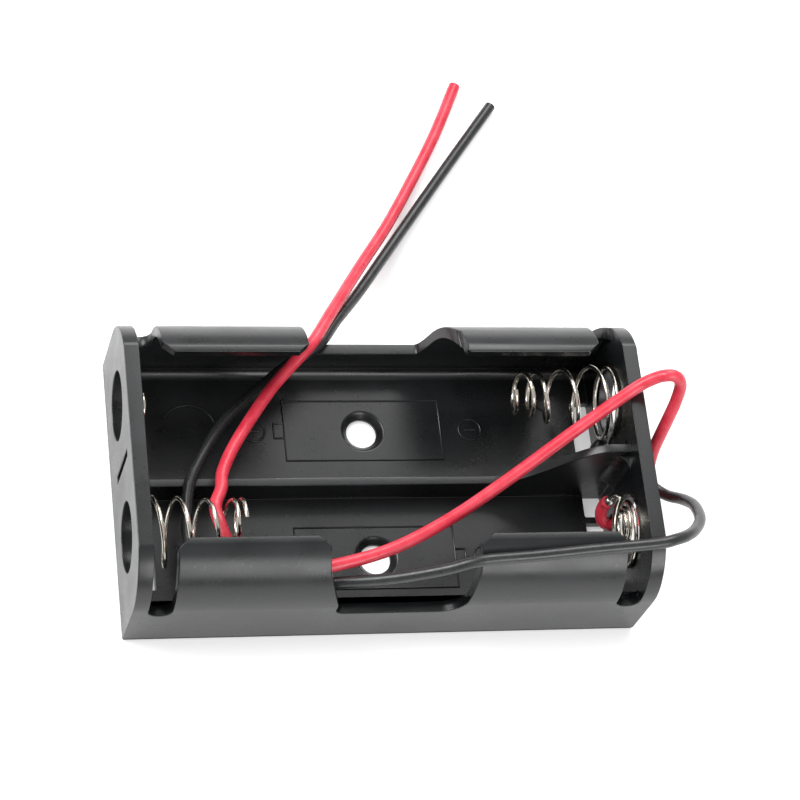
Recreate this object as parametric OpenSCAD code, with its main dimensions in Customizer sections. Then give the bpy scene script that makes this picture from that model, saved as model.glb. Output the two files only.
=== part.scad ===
// Open tray for two cylindrical cells lying side by side, with spring contacts and two leads.
// +X runs along the cells, +Z is up, and the origin is the centre of the flat underside.

/* [Tray] */
// Length of the tray over its end walls
tray_l = 58; // [57:0.5:62]
// Width of the tray over its side walls
tray_w = 33; // [32.5:0.1:34]
// Height of the end walls
tray_h = 15.4; // [15:0.1:16]
// Thickness of the floor
floor_t = 1.2; // [1:0.1:1.4]
// Thickness of the side walls
side_t = 1.3; // [1.1:0.1:1.4]
// Thickness of the end walls
end_t = 1.7; // [1.5:0.1:1.9]
// Distance from the middle plane to the free edge of each curled lip
lip_edge = 10.8; // [10:0.1:12]

/* [Divider] */
// Thickness of the divider between the cells
divider_t = 1; // [0.8:0.1:1.2]
// Height of its low part
divider_low = 4.75; // [4:0.05:5]
// Height of its high end, beside the lead joints
divider_high = 13.3; // [12:0.1:14]

/* [Holes] */
// Bore of the two mounting screw holes
screw_d = 3.5; // [3:0.1:3.8]
// Rim of their countersinks
sink_d = 4.9; // [4.2:0.1:5.2]
// Distance between the screw holes
screw_pitch = 15.4; // [14:0.1:16]
// Round holes in the end walls, behind the contacts
end_hole_d = 7.7; // [7:0.1:7.8]
// Holes that the leads leave by
lead_hole_d = 2.2; // [2:0.1:2.4]

/* [Contacts] */
// Diameter of the contact wire
wire_d = 0.5; // [0.4:0.05:0.55]
// Sides of the contact wire
wire_sides = 8; // [6:1:10]
// Steps in one turn of a coil
turn_steps = 20; // [16:1:24]

/* [Leads] */
// Diameter of the red lead
red_d = 1.4; // [1.2:0.05:1.4]
// Diameter of the black lead
black_d = 1.3; // [1.1:0.05:1.3]

/* [Hidden] */

fine = 96;
eps = 0.01;
half_l = tray_l / 2;
half_w = tray_w / 2;
inner_x = half_l - end_t;
inner_y = half_w - side_t;
curl_z = 8.4;                       // where the side walls start to curl inwards
curl_r = 7.4;                       // outer radius of the curl
curl_y = half_w - curl_r;
cell_y = 7.74;                      // axis of each cell
cell_z = 8.15;
slot_w = 2.6;                       // gap between a lip and an end wall
foot_r = 1.2;                       // inner radius between floor and walls
lead_hole_y = 5;                    // where the leads pass the right-hand end wall
lead_hole_z = 3.2;

// ---------- curves ----------
function arc(c, r, a0, a1, n) = [for (i = [0:n]) let (a = a0 + (a1 - a0) * i / n)
    [c[0] + r * cos(a), c[1] + r * sin(a)]];
function ease(x0, z0, x1, z1, n) = [for (i = [0:n]) let (t = i / n)
    [x0 + (x1 - x0) * t, z0 + (z1 - z0) * (1 - cos(180 * t)) / 2]];
function unit(v) = v / norm(v);
function square_to(n, t) = unit(n - (n * t) * t);

// Direction of a run of points at each of them
function headings(p) = [for (i = [0:len(p) - 1])
    unit(p[min(i + 1, len(p) - 1)] - p[max(i - 1, 0)])];

// Side vectors carried along the run without twist
function sides(t) = [for (i = 0, s = square_to([0.31, 0.2, 0.93], t[0]); i < len(t);
    i = i + 1, s = i < len(t) ? square_to(s, t[i]) : s) s];

// Round bar with flat ends, swept along the points p
module bar(p, d, n) {
    t = headings(p);
    s = sides(t);
    rings = [for (i = [0:len(p) - 1]) let (b = cross(t[i], s[i])) for (j = [0:n - 1])
        let (a = 360 * j / n) p[i] + d / 2 * (cos(a) * s[i] + sin(a) * b)];
    skin = [for (i = [0:len(p) - 2]) for (j = [0:n - 1]) let (k = (j + 1) % n)
        [i * n + j, (i + 1) * n + j, (i + 1) * n + k, i * n + k]];
    first = [for (j = [0:n - 1]) j];
    last = [for (j = [n - 1:-1:0]) (len(p) - 1) * n + j];
    polyhedron(rings, concat(skin, [first, last]), convexity = 8);
}

// ---------- tray ----------
// Section of the tray seen along X, and the same section shrunk by the wall
module curl_section(inset, low) {
    r = curl_r - inset;
    w = half_w - inset;
    for (m = [0, 1]) mirror([m, 0]) {
        translate([curl_y, curl_z]) circle(r, $fn = fine);
        translate([0, low]) square([w, curl_z - low]);
    }
    translate([-curl_y, low]) square([2 * curl_y, curl_z + r - low]);
}

module along_x(x0, x1) {
    translate([x0, 0, 0]) rotate([90, 0, 90]) linear_extrude(x1 - x0) children();
}

module along_y(y0, y1) {
    translate([0, y1, 0]) rotate([90, 0, 0]) linear_extrude(y1 - y0) children();
}

module shell() {
    difference() {
        along_x(-half_l, half_l) intersection() {
            curl_section(0, 0);
            translate([-half_w, 0]) square([tray_w, tray_h]);
        }
        along_x(-inner_x, inner_x) difference() {
            curl_section(side_t, floor_t);
            for (m = [0, 1]) mirror([m, 0]) translate([inner_y - foot_r, floor_t]) difference() {
                square([foot_r + eps, foot_r]);
                translate([0, foot_r]) circle(foot_r, $fn = fine);
            }
        }
        mouth();
    }
}

// Opening between the lips, with the free corner of each lip cut back
module mouth() {
    lip_x = inner_x - slot_w;
    corner = 1.2;
    notch_x = 8.4;
    translate([0, 0, curl_z]) linear_extrude(tray_h) {
        square([2 * inner_x, 2 * lip_edge], center = true);
        for (sx = [-1, 1], sy = [-1, 1], x = [notch_x, lip_x])
            translate([sx * x, sy * lip_edge]) rotate(45) square(corner * sqrt(2), center = true);
    }
}

// Gap beside an end wall, with a rounded foot
module end_slot(x0, low) {
    r = slot_w / 2 - 0.05;
    translate([x0, low + r]) square([slot_w, tray_h]);
    translate([x0 + r, low]) square([slot_w - 2 * r, tray_h]);
    for (x = [r, slot_w - r]) translate([x0 + x, low + r]) circle(r, $fn = 48);
}

module front_cuts() {
    low = 6.8;
    along_y(-half_w - 1, -lip_edge + 1) {
        polygon(concat([[-8.3, tray_h + 1], [-8.3, 13.5], [-6.8, 9]],
            arc([-5.8, low + 1], 1, 180, 270, 6),
            arc([4.6, low + 3], 3, 270, 360, 9),
            [[8.2, 13.5], [8.2, tray_h + 1]]));
        end_slot(-inner_x, 7.2);
        end_slot(inner_x - slot_w, 7.3);
    }
}

module rear_cuts() {
    low = 5.7;
    foot = 2.2;
    along_y(lip_edge - 1, half_w + 1) {
        polygon(concat([[-8.5, tray_h + 1]],
            arc([-6.3, low + foot], foot, 180, 270, 8),
            ease(5.9, low, 9.2, 13.8, 12),
            [[9.5, tray_h + 1]]));
        end_slot(-inner_x, 7.5);
        // The right-hand gap climbs in a curve to the end wall
        polygon(concat([[inner_x - slot_w, tray_h + 1], [inner_x - slot_w, 7.6]],
            ease(inner_x - slot_w + 0.6, 7.6, inner_x, 12.8, 10), [[inner_x, tray_h + 1]]));
    }
}

module divider() {
    rise_x0 = 13.5;
    rise_x1 = 25.5;
    along_y(-divider_t / 2, divider_t / 2)
        polygon(concat([[-inner_x - eps, floor_t - eps], [-inner_x - eps, divider_low]],
            ease(rise_x0, divider_low, rise_x1, divider_high, 16),
            [[inner_x + eps, divider_high], [inner_x + eps, floor_t - eps]]));
}

// Fillet that braces the high end of the divider against the end wall
module brace() {
    r = 1.8;
    low = 5.4;
    translate([inner_x, -divider_t / 2, low]) linear_extrude(divider_high - low - 1.2) difference() {
        translate([-r, -r]) square([r + eps, r + eps]);
        translate([-r, -r]) circle(r, $fn = fine);
    }
}

// Windows at the ends of both bays: a wide one, a rib and a narrow one by the divider
module windows() {
    win_l = 2.3;
    narrow = [divider_t / 2, 3.2];
    wide = [4, 11.1];
    for (sx = [-1, 1], sy = [-1, 1], y = [narrow, wide])
        translate([sx > 0 ? inner_x - win_l : -inner_x, sy > 0 ? y[0] : -y[1], -1])
            cube([win_l, y[1] - y[0], floor_t + 2]);
}

module screw_holes() {
    sink = 0.7;
    for (sy = [-1, 1]) translate([0, sy * screw_pitch / 2, 0]) {
        translate([0, 0, -1]) cylinder(h = floor_t + 2, d = screw_d, $fn = fine);
        translate([0, 0, floor_t - sink])
            cylinder(h = sink + eps, d1 = screw_d, d2 = sink_d, $fn = fine);
    }
}

module end_holes() {
    for (sx = [-1, 1], sy = [-1, 1])
        translate([sx * half_l, sy * cell_y, cell_z]) rotate([0, 90, 0])
            cylinder(h = 2 * end_t + 1, d = end_hole_d, center = true, $fn = fine);
    for (sy = [-1, 1]) translate([half_l, sy * lead_hole_y, lead_hole_z]) rotate([0, 90, 0])
        cylinder(h = 2 * end_t + 1, d = lead_hole_d, center = true, $fn = 48);
    // Upright slot in the left end wall
    slit_w = 0.8;
    slit_h = 7.8;
    translate([-half_l - 1, -0.1, divider_low]) cube([end_t + 2, slit_w, slit_h]);
}

module tray() {
    color("#1b1d1f") difference() {
        union() {
            difference() {
                shell();
                front_cuts();
                rear_cuts();
            }
            divider();
            brace();
        }
        windows();
        screw_holes();
        end_holes();
    }
}

// ---------- contacts ----------
// Each row of a coil's profile is [turn, distance from the wall, radius, rise, drift], where rise
// and drift are how far its axis has moved up and sideways
link_profile = [[0, 0, 4.2, 0, 0], [0.9, 0.85, 4, 0.4, 0.1], [1.8, 3.4, 3.3, 1.1, 0.4],
                [2.8, 6.4, 2.65, 1.7, 0.6], [3.8, 9.3, 2.2, 2.3, 0.8],
                [5.05, 10.4, 2.1, 2.5, 0.9]];
cap_profile = [[0, 0, 4.2, 0, 0], [1, 0.05, 3.2, 0, 0], [2, 0.35, 2.4, 0, 0],
               [3.1, 0.85, 1.35, 0, 0]];
negative_profile = [[0, 0, 4.1, 0, 0], [0.7, 0.2, 4.1, 0.2, 0], [1.2, 1.3, 4, 0.5, 0.1],
                    [2.2, 4.9, 3.4, 0.9, 0.3], [3.2, 8.3, 2.6, 1.2, 0.4],
                    [4.2, 9.8, 2.3, 1.6, 0.5], [5.2, 11.9, 2.3, 2, 0.6]];
button_profile = [[0, 0, 4.1, 0, 0], [0.5, 0, 4.1, 0, 0], [1, 0.1, 2.5, 0.8, 0.1],
                  [1.5, 0.35, 2, 1.3, 0.1], [2, 0.55, 1.8, 1.4, 0.1], [3.05, 0.95, 1.35, 1.4, 0.1]];

function column(profile, k) = [for (row = profile) [row[0], row[k]]];

// Coil about the X axis of a cell: it starts on the wall at the angle a0 and winds by the sign
// of turn towards the free tip; side is +1 at the right-hand end wall and -1 at the left
function coil(profile, side, y, a0, turn) =
    let (last = profile[len(profile) - 1][0], n = floor(last * turn_steps))
    [for (i = [0:n]) let (k = i / turn_steps, a = a0 + 360 * turn * k,
        r = lookup(k, column(profile, 2)))
        [side * (inner_x - wire_d / 2 - lookup(k, column(profile, 1))),
         y + lookup(k, column(profile, 4)) + r * cos(a),
         cell_z + lookup(k, column(profile, 3)) + r * sin(a)]];

function reversed(p) = [for (i = [len(p) - 1:-1:0]) p[i]];

// One bent wire: the tapered spring of the front cell, a straight link along the end wall
// and the flat button coil of the rear cell
module link_contact() {
    spring = coil(link_profile, -1, -cell_y, 90, 1);
    button = coil(cap_profile, -1, cell_y, 90, -1);
    color("#cfcbc0") bar(concat(reversed(spring), button), wire_d, wire_sides);
}

module negative_spring() {
    turns = coil(negative_profile, 1, cell_y, black_angle, -1);
    color("#cfcbc0") bar(concat(black_tail, turns), wire_d, wire_sides);
}

module positive_button() {
    turns = coil(button_profile, 1, -cell_y, red_angle, -1);
    color("#cfcbc0") bar(concat(red_tail, turns), wire_d, wire_sides);
}

// Bent tails that lead from the solder joints to the first turns, which start at these angles
red_tail = [[26.2, -3.5, 7], [26.3, -3.5, 7.8], [26.6, -3.55, 8.15], [26.95, -3.6, 8]];
black_tail = [[26.8, 3, 7.2], [26.9, 3.2, 7.4]];
red_angle = -10;
black_angle = 180;

// Radii of a solder bead at the wire and at the lead
bead_r1 = 0.34;
bead_r2 = 0.58;

// Solder bead, flat against the end of a wire tail and the end of a lead
module bead(tail, route) {
    v = route[0] - tail;
    color("#d9d9d6") translate(tail) rotate([0, acos(v[2] / norm(v)), atan2(v[1], v[0])])
        cylinder(h = norm(v), r1 = bead_r1, r2 = bead_r2, $fn = 32);
}

module red_joint() {
    bead(red_tail[0], red_route);
}

module black_joint() {
    bead(black_tail[0], black_route);
}

// ---------- leads ----------
// Middle lines, from the joint to the cut end
red_route = [
    [26.1, -3.5, 6.2], [26, -3.5, 5.4], [25.8, -4, 4.5], [26.1, -4.7, 3.6], [26.8, -5, 3.2],
    [27.7, -5, 3.2], [29.2, -5, 3.2], [30.3, -4.6, 3.4], [31, -3.2, 4], [31.2, -1.2, 5.2],
    [31.4, 0.5, 6.9], [31.6, 1.8, 8.8], [31.9, 2.7, 10.8], [32.3, 3.7, 12.8], [32.7, 4.8, 15],
    [32.8, 5.9, 17], [32, 6.3, 18.3], [30.8, 6.4, 18.5], [29.4, 6.4, 17.5], [27.1, 5.5, 16.2], [20.2, 1.4, 13.9],
    [13.3, -2.9, 11.8], [6.3, -7.1, 10.5], [-0.6, -10.3, 9.8], [-7.4, -12, 9.4],
    [-11.5, -12.4, 9.2], [-15.6, -11.8, 9.2],
             [-18, -9.9, 9.7], [-19.1, -7, 10],
             [-19.3, -4.7, 9.3], [-18.4, -2.5, 8.8],
             [-17.9, -0.1, 8.1], [-15.9, 3.8, 7.5], [-11.8, 9.8, 7], [-9.2, 12.7, 7.4],
    [-6.5, 15.4, 8.25], [-3.9, 19.4, 7.2], [0.8, 26.8, 4.2], [5.5, 33.9, 2], [9.6, 40.8, 0.9],
    [13.1, 47.1, 0.7], [16.4, 54, 0.7]];

black_route = [
    [26.5, 2.4, 6.6], [26.3, 2, 6.2], [26.1, 2, 5.4], [26.1, 2.6, 4.4], [26.4, 3.9, 3.6],
    [26.9, 4.7, 3.3], [27.7, 5, 3.2], [29.2, 5, 3.2], [30.3, 4.1, 3.1], [31.3, 2, 3],
    [32.6, -0.3, 3.5], [34, -1.9, 4.2],
    [35.1, -3.3, 6.2], [35.3, -5.2, 8.9], [34.7, -7.8, 11.6], [33.5, -9.7, 13.3],
    [31.8, -11.2, 14.9], [29.9, -12.1, 15.8], [27.6, -12.6, 15.9], [21.1, -13, 15.6],
    [14.3, -13.5, 15.3], [8, -13.9, 15.1], [4.6, -14.2, 13.7], [1.2, -14.2, 12],
    [-2.3, -14, 10.3], [-7.3, -13.5, 8.2], [-12, -13.8, 6.8], [-16.6, -13.5, 5.9],
    [-19.6, -12, 5.5], [-21.3, -9.4, 5.4], [-21.9, -6.4, 5.4], [-21.7, -3.4, 5.4],
    [-21.1, -0.2, 5.5], [-19.3, 3.3, 5.4], [-16.5, 7.4, 5.2], [-12, 11.5, 5.2],
    [-8.8, 13.8, 6.2], [-5.5, 15.8, 6.8], [-2.8, 19.5, 5.7], [0.9, 24.4, 3.7], [7.5, 33.7, 1.3],
    [13.8, 42.3, 0.65], [20.6, 51.3, 0.65]];

module red_lead() {
    color("#d8303f") bar(red_route, red_d, 8);
}

module black_lead() {
    color("#2b2c2d") bar(black_route, black_d, 8);
}

tray();
link_contact();
negative_spring();
positive_button();
red_joint();
black_joint();
red_lead();
black_lead();
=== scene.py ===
"""Two-cell battery holder: moulded tray, wound wire contacts, solder joints and two leads."""
import math

import bmesh
import bpy
from mathutils import Matrix, Vector, noise


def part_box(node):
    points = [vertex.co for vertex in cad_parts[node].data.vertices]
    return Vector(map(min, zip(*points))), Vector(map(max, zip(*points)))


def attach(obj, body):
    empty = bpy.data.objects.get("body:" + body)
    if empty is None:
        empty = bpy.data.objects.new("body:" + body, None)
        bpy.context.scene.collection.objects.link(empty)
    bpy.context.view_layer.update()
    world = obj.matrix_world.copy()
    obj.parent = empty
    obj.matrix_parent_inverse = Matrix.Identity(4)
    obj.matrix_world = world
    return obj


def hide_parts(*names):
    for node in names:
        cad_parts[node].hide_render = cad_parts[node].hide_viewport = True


MM = 0.001

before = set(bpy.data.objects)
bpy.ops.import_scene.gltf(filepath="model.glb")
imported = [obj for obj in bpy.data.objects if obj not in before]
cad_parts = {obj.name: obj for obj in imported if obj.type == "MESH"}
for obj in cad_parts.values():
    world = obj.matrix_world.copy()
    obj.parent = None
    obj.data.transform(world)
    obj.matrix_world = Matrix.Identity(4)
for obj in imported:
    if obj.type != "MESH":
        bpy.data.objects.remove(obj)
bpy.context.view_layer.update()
scene = bpy.context.scene


def mm(*values):
    """A point given in millimetres, in metres."""
    return Vector([v * MM for v in values])


# ---------------------------------------------------------------- camera
LENS_MM = 129.66
SENSOR_MM = 36


def look_from(azimuth, elevation, roll, distance, aim):
    """Camera turned about the point it aims at; the angles are in degrees."""
    a, e, r = (math.radians(v) for v in (azimuth, elevation, roll))
    back = Vector((math.sin(a) * math.cos(e), -math.cos(a) * math.cos(e), math.sin(e)))
    level = (-back).cross(Vector((0, 0, 1))).normalized()
    upright = level.cross(-back)
    right = level * math.cos(r) + upright * math.sin(r)
    up = upright * math.cos(r) - level * math.sin(r)
    camera = bpy.data.objects.new("camera", bpy.data.cameras.new("camera"))
    camera.data.lens = LENS_MM
    camera.data.sensor_width = SENSOR_MM
    camera.data.clip_start = 0.01
    camera.data.clip_end = 20
    place = Matrix((right, up, back)).transposed().to_4x4()
    place.translation = aim + back * distance
    camera.matrix_world = place
    scene.collection.objects.link(camera)
    scene.camera = camera


look_from(azimuth=-30.69, elevation=61.401, roll=27.352,
          distance=0.331316, aim=mm(5.153, 12.159, 0))


# ---------------------------------------------------------------- materials
def srgb(code, alpha=1.0):
    """An sRGB hex value as linear red, green, blue and alpha."""
    parts = [int(code[i : i + 2], 16) / 255 for i in (1, 3, 5)]
    return [v / 12.92 if v <= 0.04045 else ((v + 0.055) / 1.055) ** 2.4 for v in parts] + [alpha]


def add(tree, kind, links=None, **settings):
    """Adds a node: settings are its properties, or its input sockets where they are named so."""
    node = tree.nodes.new(kind)
    for name, value in settings.items():
        if hasattr(node, name):
            setattr(node, name, value)
        else:
            node.inputs[name.replace("_", " ")].default_value = value
    for name, source in (links or {}).items():
        tree.links.new(source, node.inputs[name])
    return node


def new_material(name, **shader):
    """A material with one Principled shader; returns it with its tree and that shader."""
    material = bpy.data.materials.new(name)
    material.use_nodes = True
    tree = material.node_tree
    tree.nodes.clear()
    bsdf = add(tree, "ShaderNodeBsdfPrincipled")
    for socket, value in shader.items():
        bsdf.inputs[socket.replace("_", " ")].default_value = value
    out = add(tree, "ShaderNodeOutputMaterial")
    tree.links.new(bsdf.outputs[0], out.inputs[0])
    return material, tree, bsdf


def pattern(tree, size_mm, detail=3.0, stretch=(1, 1, 1), rough=0.5):
    """Noise in Object coordinates whose lumps are size_mm across."""
    coord = add(tree, "ShaderNodeTexCoord")
    mapping = add(tree, "ShaderNodeMapping", {"Vector": coord.outputs["Object"]})
    mapping.inputs["Scale"].default_value = stretch
    return add(tree, "ShaderNodeTexNoise", {"Vector": mapping.outputs[0]},
               Scale=1 / (size_mm * MM), Detail=detail, Roughness=rough)


def spread(tree, source, low, high, from_min=0.3, from_max=0.7):
    """Maps a 0 to 1 pattern onto low to high."""
    node = add(tree, "ShaderNodeMapRange", {"Value": source})
    for socket, value in zip(("From Min", "From Max", "To Min", "To Max"),
                             (from_min, from_max, low, high)):
        node.inputs[socket].default_value = value
    return node.outputs[0]


def tint(tree, source, low, high):
    """Colour between two hex values."""
    node = add(tree, "ShaderNodeMix", {"Factor": source}, data_type="RGBA")
    node.inputs[6].default_value = srgb(low)
    node.inputs[7].default_value = srgb(high)
    return node.outputs[2]


def relief(tree, bsdf, height, depth_mm):
    """Bump of a real depth on the shader."""
    bump = add(tree, "ShaderNodeBump", {"Height": height}, Strength=1.0, Distance=depth_mm * MM)
    tree.links.new(bump.outputs[0], bsdf.inputs["Normal"])


def moulded_abs():
    """Injection-moulded black ABS with a fine spark-eroded mould finish: satin, with soft cloudy
    patches where the melt cooled unevenly and rubbed specks that catch the light."""
    material, tree, bsdf = new_material("black_abs_moulded", IOR=1.54)
    cloud = pattern(tree, 5.0, detail=2)
    grain = pattern(tree, 0.35, detail=4)
    speck = pattern(tree, 0.5, detail=1)
    tree.links.new(tint(tree, spread(tree, cloud.outputs[0], 0, 1), "#0f1112", "#17191b"),
                   bsdf.inputs["Base Color"])
    base = spread(tree, cloud.outputs[0], 0.26, 0.34)
    rubbed = add(tree, "ShaderNodeMath", {0: base,
                 1: spread(tree, speck.outputs[0], 0.0, 0.05, 0.66, 0.74)}, operation="SUBTRACT")
    tree.links.new(rubbed.outputs[0], bsdf.inputs["Roughness"])
    relief(tree, bsdf, grain.outputs[0], 0.003)
    return material


def nickelled_wire():
    """Nickel-plated spring steel, drawn through a die: bright, with faint lines along the wire."""
    material, tree, bsdf = new_material("nickel_plated_wire_drawn", Metallic=1.0)
    around = add(tree, "ShaderNodeAttribute", attribute_name="around")
    along = add(tree, "ShaderNodeAttribute", attribute_name="along")
    join = add(tree, "ShaderNodeCombineXYZ", {0: around.outputs["Fac"], 1: along.outputs["Fac"]})
    stretch = add(tree, "ShaderNodeMapping", {"Vector": join.outputs[0]})
    stretch.inputs["Scale"].default_value = (30, 120, 1)
    lines = add(tree, "ShaderNodeTexNoise", {"Vector": stretch.outputs[0]}, Scale=1.0, Detail=3.0)
    tree.links.new(tint(tree, lines.outputs[0], "#c9c2b4", "#e9e5dc"), bsdf.inputs["Base Color"])
    tree.links.new(spread(tree, lines.outputs[0], 0.14, 0.26), bsdf.inputs["Roughness"])
    relief(tree, bsdf, lines.outputs[0], 0.004)
    return material


def tin_solder():
    """Tin solder cooled in air: pale, lumpy and a little frosted."""
    material, tree, bsdf = new_material("tin_solder_cooled", Metallic=1.0)
    frost = pattern(tree, 0.2, detail=4)
    tree.links.new(tint(tree, frost.outputs[0], "#b9bab8", "#e2e2df"), bsdf.inputs["Base Color"])
    tree.links.new(spread(tree, frost.outputs[0], 0.22, 0.45), bsdf.inputs["Roughness"])
    relief(tree, bsdf, frost.outputs[0], 0.03)
    return material


def extruded_pvc(name, dark, light, gloss):
    """Soft PVC insulation, extruded over the strands: a smooth skin that shows a slight wave
    of the strands beneath it and small dull scuffs."""
    material, tree, bsdf = new_material(name, IOR=1.53)
    wave = pattern(tree, 1.6, detail=2)
    scuff = pattern(tree, 0.6, detail=4)
    tree.links.new(tint(tree, spread(tree, wave.outputs[0], 0, 1), dark, light),
                   bsdf.inputs["Base Color"])
    tree.links.new(spread(tree, scuff.outputs[0], gloss, gloss + 0.14), bsdf.inputs["Roughness"])
    relief(tree, bsdf, wave.outputs[0], 0.02)
    return material


def drawn_copper():
    """Tinned copper strands, cut with pliers."""
    material, tree, bsdf = new_material("copper_strand_cut", Metallic=1.0)
    smear = pattern(tree, 0.08, detail=2)
    tree.links.new(tint(tree, smear.outputs[0], "#b8704c", "#e0a983"), bsdf.inputs["Base Color"])
    tree.links.new(spread(tree, smear.outputs[0], 0.25, 0.4), bsdf.inputs["Roughness"])
    return material


plastic = moulded_abs()
nickel = nickelled_wire()
solder = tin_solder()
red_pvc = extruded_pvc("red_pvc_extruded", "#d32a3f", "#e34556", 0.26)
black_pvc = extruded_pvc("black_pvc_extruded", "#202122", "#2c2d2e", 0.24)
copper = drawn_copper()


# ---------------------------------------------------------------- bars along lines
def bar_tree():
    """Geometry Nodes: a round bar with flat ends along each line of a mesh."""
    tree = bpy.data.node_groups.new("bar_along_line", "GeometryNodeTree")
    tree.interface.new_socket("Line", in_out="INPUT", socket_type="NodeSocketGeometry")
    for name, kind in (("Diameter", "NodeSocketFloat"), ("Sides", "NodeSocketInt"),
                       ("Finish", "NodeSocketMaterial")):
        tree.interface.new_socket(name, in_out="INPUT", socket_type=kind)
    tree.interface.new_socket("Bar", in_out="OUTPUT", socket_type="NodeSocketGeometry")
    given = add(tree, "NodeGroupInput").outputs
    line = add(tree, "GeometryNodeMeshToCurve", {"Mesh": given["Line"]})
    far = add(tree, "GeometryNodeSplineParameter")
    along = add(tree, "GeometryNodeStoreNamedAttribute",
                {"Geometry": line.outputs[0], "Value": far.outputs["Length"]}, Name="along")
    half = add(tree, "ShaderNodeMath", {0: given["Diameter"]}, operation="MULTIPLY")
    half.inputs[1].default_value = 0.5
    ring = add(tree, "GeometryNodeCurvePrimitiveCircle",
               {"Resolution": given["Sides"], "Radius": half.outputs[0]})
    turn = add(tree, "GeometryNodeSplineParameter")
    around = add(tree, "GeometryNodeStoreNamedAttribute",
                 {"Geometry": ring.outputs[0], "Value": turn.outputs["Factor"]}, Name="around")
    bar = add(tree, "GeometryNodeCurveToMesh",
              {"Curve": along.outputs[0], "Profile Curve": around.outputs[0]}, Fill_Caps=True)
    solid = add(tree, "GeometryNodeRealizeInstances", {"Geometry": bar.outputs[0]})
    done = add(tree, "GeometryNodeSetMaterial",
               {"Geometry": solid.outputs[0], "Material": given["Finish"]})
    add(tree, "NodeGroupOutput", {"Bar": done.outputs[0]})
    return tree


BAR = bar_tree()
BAR_SHARP = 50          # degrees: the rims of a bar's flat ends keep their edge


def plain_mesh(thing):
    """The evaluated object's mesh replaces its own, and its modifiers go."""
    bpy.context.view_layer.update()
    graph = bpy.context.evaluated_depsgraph_get()
    mesh = bpy.data.meshes.new_from_object(
        thing.evaluated_get(graph), preserve_all_data_layers=True, depsgraph=graph)
    thing.modifiers.clear()
    thing.data = mesh
    return thing


def smooth(thing, sharp_angle):
    """Smooth shading with edges sharper than an angle in degrees kept."""
    thing.data.shade_smooth()
    thing.data.set_sharp_from_angle(angle=math.radians(sharp_angle))
    return thing


def bars(name, lines, diameter, sides, finish):
    """One piece of round bars: each line is (points in metres, closed)."""
    points, edges = [], []
    for run, closed in lines:
        first = len(points)
        points += [tuple(p) for p in run]
        edges += [(first + i, first + i + 1) for i in range(len(run) - 1)]
        if closed:
            edges.append((first + len(run) - 1, first))
    mesh = bpy.data.meshes.new(name)
    mesh.from_pydata(points, edges, [])
    thing = bpy.data.objects.new(name, mesh)
    scene.collection.objects.link(thing)
    modifier = thing.modifiers.new("bar", "NODES")
    modifier.node_group = BAR
    values = {"Diameter": diameter, "Sides": sides, "Finish": finish}
    for item in BAR.interface.items_tree:
        if item.in_out == "INPUT" and item.name in values:
            modifier[item.identifier] = values[item.name]
    return smooth(plain_mesh(thing), BAR_SHARP)


def curve_through(points, step):
    """Points no further apart than step on a smooth curve through the given ones."""
    ends = [points[0] * 2 - points[1]] + points + [points[-1] * 2 - points[-2]]
    run = []
    for a, b, c, d in zip(ends, ends[1:], ends[2:], ends[3:]):
        n = max(1, math.ceil((c - b).length / step))
        for i in range(n):
            t = i / n
            run.append(0.5 * ((2 * b) + (c - a) * t + (2 * a - 5 * b + 4 * c - d) * t ** 2
                              + (3 * b - a - 3 * c + d) * t ** 3))
    return run + [points[-1]]


# ---------------------------------------------------------------- leads
RED_D = 1.4
BLACK_D = 1.3
LEAD_SIDES = 24
LEAD_STEP = 0.5
STRAND_D = 0.2
STRAND_SIDES = 10
STRAND_GAP = 1.02       # spacing of the strands, in diameters
STRAND_IN = 0.5         # how far they reach into the insulation
STRAND_OUT = 0.02       # and out of its end

red_route = [
    (26.1, -3.5, 6.2), (26, -3.5, 5.4), (25.8, -4, 4.5), (26.1, -4.7, 3.6), (26.8, -5, 3.2),
    (27.7, -5, 3.2), (29.2, -5, 3.2), (30.3, -4.6, 3.4), (31, -3.2, 4), (31.2, -1.2, 5.2),
    (31.4, 0.5, 6.9), (31.6, 1.8, 8.8), (31.9, 2.7, 10.8), (32.3, 3.7, 12.8), (32.7, 4.8, 15),
    (32.8, 5.9, 17), (32, 6.3, 18.3), (30.8, 6.4, 18.5), (29.4, 6.4, 17.5), (27.1, 5.5, 16.2),
    (20.2, 1.4, 13.9), (13.3, -2.9, 11.8), (6.3, -7.1, 10.5), (-0.6, -10.3, 9.8),
    (-7.4, -12, 9.4), (-11.5, -12.4, 9.2), (-15.6, -11.8, 9.2), (-18, -9.9, 9.7),
    (-19.1, -7, 10), (-19.3, -4.7, 9.3), (-18.4, -2.5, 8.8), (-17.9, -0.1, 8.1),
    (-15.9, 3.8, 7.5), (-11.8, 9.8, 7), (-9.2, 12.7, 7.4), (-6.5, 15.4, 8.25), (-3.9, 19.4, 7.2),
    (0.8, 26.8, 4.2), (5.5, 33.9, 2), (9.6, 40.8, 0.9), (13.1, 47.1, 0.7), (16.4, 54, 0.7)]

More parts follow.
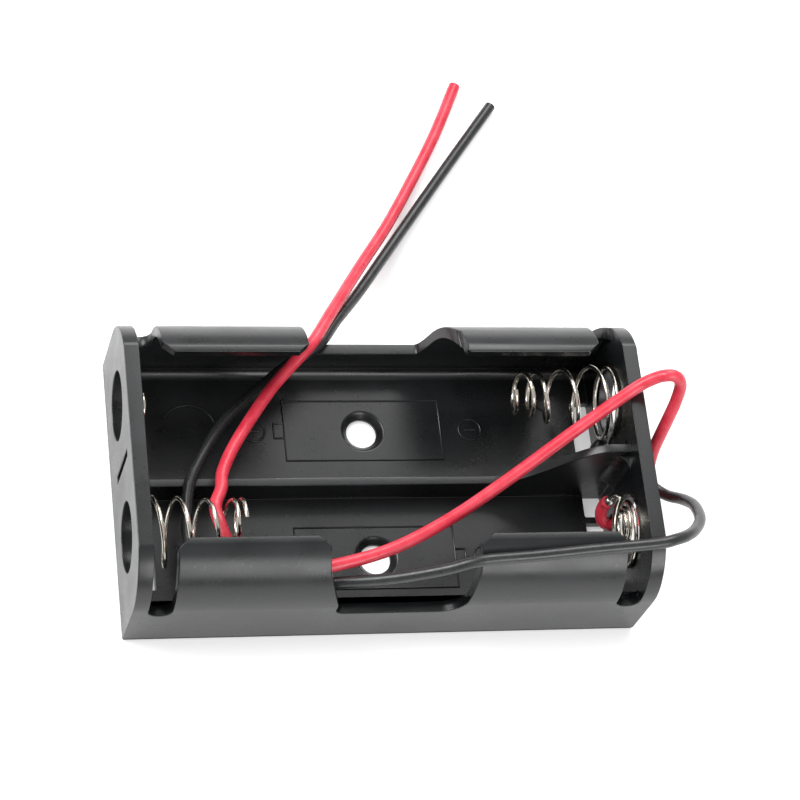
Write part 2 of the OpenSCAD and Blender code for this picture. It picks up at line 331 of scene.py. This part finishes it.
black_route = [
    (26.5, 2.4, 6.6), (26.3, 2, 6.2), (26.1, 2, 5.4), (26.1, 2.6, 4.4), (26.4, 3.9, 3.6),
    (26.9, 4.7, 3.3), (27.7, 5, 3.2), (29.2, 5, 3.2), (30.3, 4.1, 3.1), (31.3, 2, 3),
    (32.6, -0.3, 3.5), (34, -1.9, 4.2), (35.1, -3.3, 6.2), (35.3, -5.2, 8.9), (34.7, -7.8, 11.6),
    (33.5, -9.7, 13.3), (31.8, -11.2, 14.9), (29.9, -12.1, 15.8), (27.6, -12.6, 15.9),
    (21.1, -13, 15.6), (14.3, -13.5, 15.3), (8, -13.9, 15.1), (4.6, -14.2, 13.7),
    (1.2, -14.2, 12), (-2.3, -14, 10.3), (-7.3, -13.5, 8.2), (-12, -13.8, 6.8),
    (-16.6, -13.5, 5.9), (-19.6, -12, 5.5), (-21.3, -9.4, 5.4), (-21.9, -6.4, 5.4),
    (-21.7, -3.4, 5.4), (-21.1, -0.2, 5.5), (-19.3, 3.3, 5.4), (-16.5, 7.4, 5.2),
    (-12, 11.5, 5.2), (-8.8, 13.8, 6.2), (-5.5, 15.8, 6.8), (-2.8, 19.5, 5.7), (0.9, 24.4, 3.7),
    (7.5, 33.7, 1.3), (13.8, 42.3, 0.65), (20.6, 51.3, 0.65)]


def strands(name, run, diameter):
    """Seven strands whose cut ends show in the end of the insulation."""
    end, before = run[-1], run[-4]
    ahead = (end - before).normalized()
    side = ahead.cross(Vector((0, 0, 1))).normalized()
    over = side.cross(ahead)
    lines = []
    for i in range(7):
        reach = 0 if i == 0 else diameter * STRAND_GAP
        turn = math.radians(60 * i)
        centre = end + (side * math.cos(turn) + over * math.sin(turn)) * reach
        lines.append(([centre - ahead * STRAND_IN * MM, centre + ahead * STRAND_OUT * MM], False))
    return bars(name, lines, diameter, STRAND_SIDES, copper)


def lead(node, route, diameter_mm, finish):
    """A lead of insulated wire with its cut strands."""
    radius = diameter_mm * MM / 2
    run = curve_through([mm(*p) for p in route], LEAD_STEP * MM)
    for p in run:
        p.z = max(p.z, radius)
    sheath = bars(node + "_insulation", [(run, False)], diameter_mm * MM, LEAD_SIDES, finish)
    cut = strands(node + "_strands", run, STRAND_D * MM)
    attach(sheath, "root")
    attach(cut, "root")
    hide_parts(node)
    return run


red_run = lead("red_lead", red_route, RED_D, red_pvc)
black_run = lead("black_lead", black_route, BLACK_D, black_pvc)


# ---------------------------------------------------------------- contacts
WIRE_D = 0.5
WIRE_SIDES = 16
TURN_STEPS = 60
INNER_X = 27.3
CELL_Y = 7.74
CELL_Z = 8.15

# Each row of a coil's profile is (turn, distance from the wall, radius, rise, drift), where rise
# and drift are how far its axis has moved up and sideways
LINK = [
    (0, 0, 4.2, 0, 0), (0.9, 0.85, 4, 0.4, 0.1), (1.8, 3.4, 3.3, 1.1, 0.4),
    (2.8, 6.4, 2.65, 1.7, 0.6), (3.8, 9.3, 2.2, 2.3, 0.8), (5.05, 10.4, 2.1, 2.5, 0.9)]
NEGATIVE = [
    (0, 0, 4.1, 0, 0), (0.7, 0.2, 4.1, 0.2, 0), (1.2, 1.3, 4, 0.5, 0.1),
    (2.2, 4.9, 3.4, 0.9, 0.3), (3.2, 8.3, 2.6, 1.2, 0.4), (4.2, 9.8, 2.3, 1.6, 0.5),
    (5.2, 11.9, 2.3, 2, 0.6)]
CAP = [
    (0, 0, 4.2, 0, 0), (1, 0.05, 3.2, 0, 0), (2, 0.35, 2.4, 0, 0), (3.1, 0.85, 1.35, 0, 0)]
BUTTON = [
    (0, 0, 4.1, 0, 0), (0.5, 0, 4.1, 0, 0), (1, 0.1, 2.5, 0.8, 0.1), (1.5, 0.35, 2, 1.3, 0.1),
    (2, 0.55, 1.8, 1.4, 0.1), (3.05, 0.95, 1.35, 1.4, 0.1)]


def between(profile, turn, column):
    """Value of one column of a profile at a turn, in straight steps between its rows."""
    for a, b in zip(profile, profile[1:]):
        if turn <= b[0]:
            t = (turn - a[0]) / (b[0] - a[0])
            return a[column] + (b[column] - a[column]) * t
    return profile[-1][column]


def coil(profile, side, y, start, winding):
    """Middle line of a coil from the wall to its free tip; side is +1 at the right-hand wall."""
    count = math.floor(profile[-1][0] * TURN_STEPS)
    run = []
    for i in range(count + 1):
        k = i / TURN_STEPS
        angle = math.radians(start + 360 * winding * k)
        out, radius, rise, drift = (between(profile, k, c) for c in (1, 2, 3, 4))
        run.append(mm(side * (INNER_X - WIRE_D / 2 - out),
                      y + drift + radius * math.cos(angle),
                      CELL_Z + rise + radius * math.sin(angle)))
    return run


def contact(node, run):
    """A bent wire that takes a contact's place."""
    wire = bars(node + "_wire", [(run, False)], WIRE_D * MM, WIRE_SIDES, nickel)
    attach(wire, "root")
    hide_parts(node)


red_tail = [mm(26.2, -3.5, 7), mm(26.3, -3.5, 7.8), mm(26.6, -3.55, 8.15), mm(26.95, -3.6, 8)]
black_tail = [mm(26.8, 3, 7.2), mm(26.9, 3.2, 7.4)]
contact("link_contact", coil(LINK, -1, -CELL_Y, 90, 1)[::-1] + coil(CAP, -1, CELL_Y, 90, -1))
contact("negative_spring", black_tail + coil(NEGATIVE, 1, CELL_Y, 180, -1))
contact("positive_button", red_tail + coil(BUTTON, 1, -CELL_Y, -10, -1))


# ---------------------------------------------------------------- solder joints
DROP_RINGS = 12
DROP_SIDES = 20
DROP_THIN = 0.3         # radius at the wire
DROP_SWELL = 0.3        # what the fullest ring adds to it
LUMP_SIZE = 0.5
LUMP_DEPTH = 0.08       # share of the radius
LUMP_SEED = 3.7
DROP_SHARP = 60


def solder_joint(node, start, end):
    """A lumpy drop of solder, thin at the wire and full at the lead."""
    axis = end - start
    spin = axis.to_track_quat("Z", "Y").to_matrix()
    points, faces = [], []
    for i in range(DROP_RINGS + 1):
        t = i / DROP_RINGS
        full = min(1, 0.15 + 0.75 * t)
        radius = (DROP_THIN + DROP_SWELL * math.sin(math.pi * full) * t ** 0.3) * MM
        for j in range(DROP_SIDES):
            turn = 2 * math.pi * j / DROP_SIDES
            at = Vector((math.cos(turn) * radius, math.sin(turn) * radius, axis.length * t))
            lump = noise.noise(at / (LUMP_SIZE * MM) + Vector((LUMP_SEED, 0, 0))) * LUMP_DEPTH
            at.x *= 1 + lump
            at.y *= 1 + lump
            points.append(start + spin @ at)
    for i in range(DROP_RINGS):
        low, high = i * DROP_SIDES, (i + 1) * DROP_SIDES
        for j in range(DROP_SIDES):
            k = (j + 1) % DROP_SIDES
            faces.append((low + j, low + k, high + k, high + j))
    faces.append(tuple(reversed(range(DROP_SIDES))))
    faces.append(tuple(DROP_RINGS * DROP_SIDES + j for j in range(DROP_SIDES)))
    mesh = bpy.data.meshes.new(node + "_drop")
    mesh.from_pydata([tuple(p) for p in points], [], faces)
    mesh.materials.append(solder)
    drop = bpy.data.objects.new(node + "_drop", mesh)
    scene.collection.objects.link(drop)
    smooth(drop, DROP_SHARP)
    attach(drop, "root")
    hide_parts(node)


solder_joint("red_joint", red_tail[0], red_run[0])
solder_joint("black_joint", black_tail[0], black_run[0])


# ---------------------------------------------------------------- tray
EDGE_MM = 0.14          # rounding that polishing leaves on the mould's edges
EDGE_ANGLE = 38         # degrees: edges sharper than this are rounded
FLAT_ANGLE = 0.5        # degrees: facets flatter than this are one face
TRAY_SHARP = 32
HAIR = 0.001            # closer points are one
STEP_Z = 0.45           # parting step above the underside
STEP_IN = 0.09
PIP_D = 0.7             # gate mark in the middle of the front wall
PIP_X = 0.4
PIP_Z = 5.5
PIP_OUT = 0.1
PIP_ROOT = 0.3          # how far its bar reaches into the wall


def tray_body():
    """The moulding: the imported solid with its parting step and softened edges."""
    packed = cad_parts["tray"]
    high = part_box("tray")[1]
    mesh = bpy.data.meshes.new("tray_moulding")
    work = bmesh.new()
    work.from_mesh(packed.data)
    bmesh.ops.remove_doubles(work, verts=work.verts, dist=HAIR * MM)
    bmesh.ops.dissolve_limit(work, angle_limit=math.radians(FLAT_ANGLE),
                             verts=work.verts, edges=work.edges)
    for z in (STEP_Z, STEP_Z + STEP_IN):
        bmesh.ops.bisect_plane(work, geom=work.verts[:] + work.edges[:] + work.faces[:],
                               dist=HAIR * MM, plane_co=(0, 0, z * MM), plane_no=(0, 0, 1))
    for vertex in work.verts:
        if vertex.co.z < (STEP_Z + 0.01) * MM:
            for axis in (0, 1):
                if abs(vertex.co[axis]) > high[axis] - 0.01 * MM:
                    vertex.co[axis] = math.copysign(high[axis] - STEP_IN * MM, vertex.co[axis])
    work.to_mesh(mesh)
    work.free()
    mesh.materials.append(plastic)
    tray = bpy.data.objects.new("tray_moulding", mesh)
    scene.collection.objects.link(tray)
    bevel = tray.modifiers.new("edges", "BEVEL")
    bevel.limit_method = "ANGLE"
    bevel.angle_limit = math.radians(EDGE_ANGLE)
    bevel.width = EDGE_MM * MM
    bevel.segments = 2
    bevel.use_clamp_overlap = False
    bevel.miter_outer = "MITER_ARC"
    plain_mesh(tray)
    smooth(tray, TRAY_SHARP)
    flat = tray.modifiers.new("flat_faces", "WEIGHTED_NORMAL")
    flat.keep_sharp = True
    flat.weight = 100
    plain_mesh(tray)
    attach(tray, "root")
    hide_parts("tray")
    return tray


def gate_mark(tray):
    """The short stub left where the melt ran in, on the outside of the front wall."""
    place = tray.ray_cast(mm(PIP_X, -40, PIP_Z), Vector((0, 1, 0)))[1]
    reach = max(place.y - PIP_OUT * MM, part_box("tray")[0][1] + 0.01 * MM)
    line = [Vector((place.x, place.y + PIP_ROOT * MM, place.z)), Vector((place.x, reach, place.z))]
    stub = bars("gate_mark", [(line, False)], PIP_D * MM, 20, plastic)
    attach(stub, "root")


gate_mark(tray_body())


# ---------------------------------------------------------------- moulded marks
FLOOR_Z = 1.2
LINE_D = 0.24           # width of the moulded lines
LINE_UP = 0.03          # their middle lies this far over the floor
LINE_SIDES = 8
ARC_R = 3.2
ARCS = ((-20, 20, 150), (19.5, 30, 130))    # place along the bay, first and last angle


def at_floor(x, y):
    return mm(x, y, FLOOR_Z + LINE_UP)


def ring(x, y, radius, first=0, last=360, steps=40):
    """Points of an arc on the floor, in degrees from +X."""
    closed = last - first >= 360
    count = steps if closed else steps + 1
    angles = [math.radians(first + (last - first) * i / steps) for i in range(count)]
    return [at_floor(x + radius * math.cos(a), y + radius * math.sin(a)) for a in angles], closed


def floor_marks():
    """Outline of a cell with its cap nub, and the signs of its two ends, in each bay. Each bay's
    marks are the other's turned half round."""
    half, near, far = 9.1, 4.1, 11.45
    nub, nub_half = 1.2, 0.9
    middle = (near + far) / 2
    sign_x, sign_r, stroke = 12.6, 1.3, 0.65
    lines = []
    for turn in (1, -1):
        cap = -half
        outline = [(half, near), (half, far), (cap, far), (cap, near)]
        lines.append(([at_floor(turn * x, turn * y) for x, y in outline], True))
        tip = [(cap, middle - nub_half), (cap - nub, middle - nub_half),
               (cap - nub, middle + nub_half), (cap, middle + nub_half)]
        lines.append(([at_floor(turn * x, turn * y) for x, y in tip], False))
        for x in (-sign_x, sign_x):
            lines.append(ring(turn * x, turn * middle, sign_r))
            lines.append(([at_floor(turn * x - stroke, turn * middle),
                           at_floor(turn * x + stroke, turn * middle)], False))
        lines.append(([at_floor(-turn * sign_x, turn * middle - stroke),
                       at_floor(-turn * sign_x, turn * middle + stroke)], False))
        for x, first, last in ARCS:
            spin = 0 if turn > 0 else 180
            lines.append(ring(turn * x, turn * middle, ARC_R, first + spin, last + spin, 20))
    marks = bars("floor_marks", lines, LINE_D * MM, LINE_SIDES, plastic)
    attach(marks, "root")


floor_marks()


# ---------------------------------------------------------------- floor and light
TABLE_HALF = 3.0
TABLE_DROP = 0.02       # millimetres under the part
TABLE_GLOW = 0.35       # lifts the table to white for the eye and in reflections
ROOM = 0.55
SOFT_BOXES = (          # name, place, width in metres, watts; all face the part
    ("key_box", (-0.55, 0.25, 0.75), 0.5, 7.0),
    ("back_box", (0.25, 0.75, 0.75), 0.6, 6.0),
    ("front_box", (0.35, -0.8, 0.5), 0.5, 4.0))


def studio():
    """White table and soft boxes."""
    size = TABLE_HALF
    mesh = bpy.data.meshes.new("table")
    mesh.from_pydata([(-size, -size, 0), (size, -size, 0), (size, size, 0), (-size, size, 0)],
                     [], [(0, 1, 2, 3)])
    table = bpy.data.objects.new("table", mesh)
    table.location.z = -TABLE_DROP * MM
    scene.collection.objects.link(table)
    material = bpy.data.materials.new("white_table")
    material.use_nodes = True
    tree = material.node_tree
    tree.nodes.clear()
    matt = add(tree, "ShaderNodeBsdfDiffuse", Color=srgb("#f2f2f2"))
    glow = add(tree, "ShaderNodeEmission", Color=(1, 1, 1, 1), Strength=TABLE_GLOW)
    path = add(tree, "ShaderNodeLightPath")
    none = add(tree, "ShaderNodeEmission", Color=(0, 0, 0, 1), Strength=0.0)
    either = add(tree, "ShaderNodeMath", {0: path.outputs["Is Camera Ray"],
                 1: path.outputs["Is Glossy Ray"]}, operation="MAXIMUM")
    seen = add(tree, "ShaderNodeMixShader", {0: either.outputs[0],
                                             1: none.outputs[0], 2: glow.outputs[0]})
    both = add(tree, "ShaderNodeAddShader", {0: matt.outputs[0], 1: seen.outputs[0]})
    add(tree, "ShaderNodeOutputMaterial", {"Surface": both.outputs[0]})
    mesh.materials.append(material)

    world = bpy.data.worlds.new("soft_room")
    scene.world = world
    world.use_nodes = True
    tree = world.node_tree
    tree.nodes.clear()
    room = add(tree, "ShaderNodeBackground", Color=srgb("#ffffff"), Strength=ROOM)
    white = add(tree, "ShaderNodeBackground", Color=(1, 1, 1, 1), Strength=1.0)
    path = add(tree, "ShaderNodeLightPath")
    mix = add(tree, "ShaderNodeMixShader", {0: path.outputs["Is Camera Ray"],
                                            1: room.outputs[0], 2: white.outputs[0]})
    add(tree, "ShaderNodeOutputWorld", {"Surface": mix.outputs[0]})

    for name, place, width, watts in SOFT_BOXES:
        light = bpy.data.lights.new(name, "AREA")
        light.size = width
        light.energy = watts
        lamp = bpy.data.objects.new(name, light)
        lamp.location = place
        lamp.rotation_euler = (-Vector(place)).to_track_quat("-Z", "Y").to_euler()
        scene.collection.objects.link(lamp)


studio()
scene.view_settings.view_transform = "Standard"
